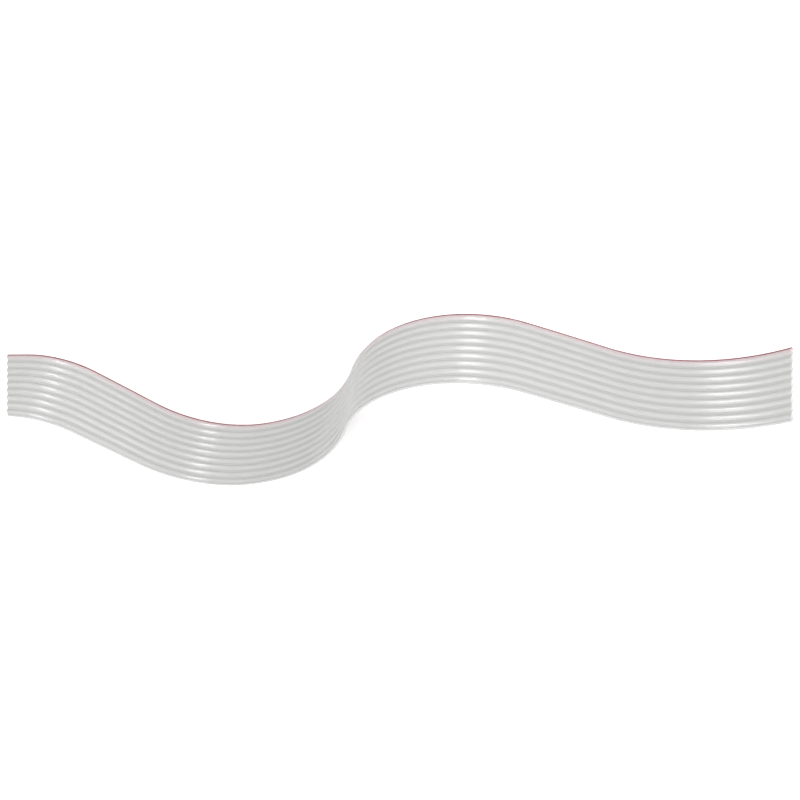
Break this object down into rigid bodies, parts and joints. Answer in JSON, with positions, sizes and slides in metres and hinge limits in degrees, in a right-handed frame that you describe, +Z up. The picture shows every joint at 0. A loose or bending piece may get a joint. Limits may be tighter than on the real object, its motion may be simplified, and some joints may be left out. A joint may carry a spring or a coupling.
{
  "type": "ribbon cable",
  "caption": "Flat ribbon cable: round insulated conductors side by side, joined by thin webs, lying slack in one wave, with a red marking strip along one edge.",
  "frame": {"origin": "on the level that the two troughs stand on, midway along the cable and in the middle of its width", "axes": "+X along the cable, from the raised end to the low one; +Y across the width, towards the edge with the red strip; +Z up"},
  "size_m": [0.1134, 0.0114, 0.0278],
  "materials": {
    "grey_pvc": "satin, slightly milky",
    "red_pvc": "satin",
    "tinned_copper": "bright tinned wire"
  },
  "bodies": {
    "root": {"insulation": "grey_pvc", "edge_stripe": "red_pvc", "conductor_1": "tinned_copper", "conductor_2": "tinned_copper", "conductor_3": "tinned_copper", "conductor_4": "tinned_copper", "conductor_5": "tinned_copper", "conductor_6": "tinned_copper", "conductor_7": "tinned_copper", "conductor_8": "tinned_copper", "conductor_9": "tinned_copper"}
  },
  "joints": []
}
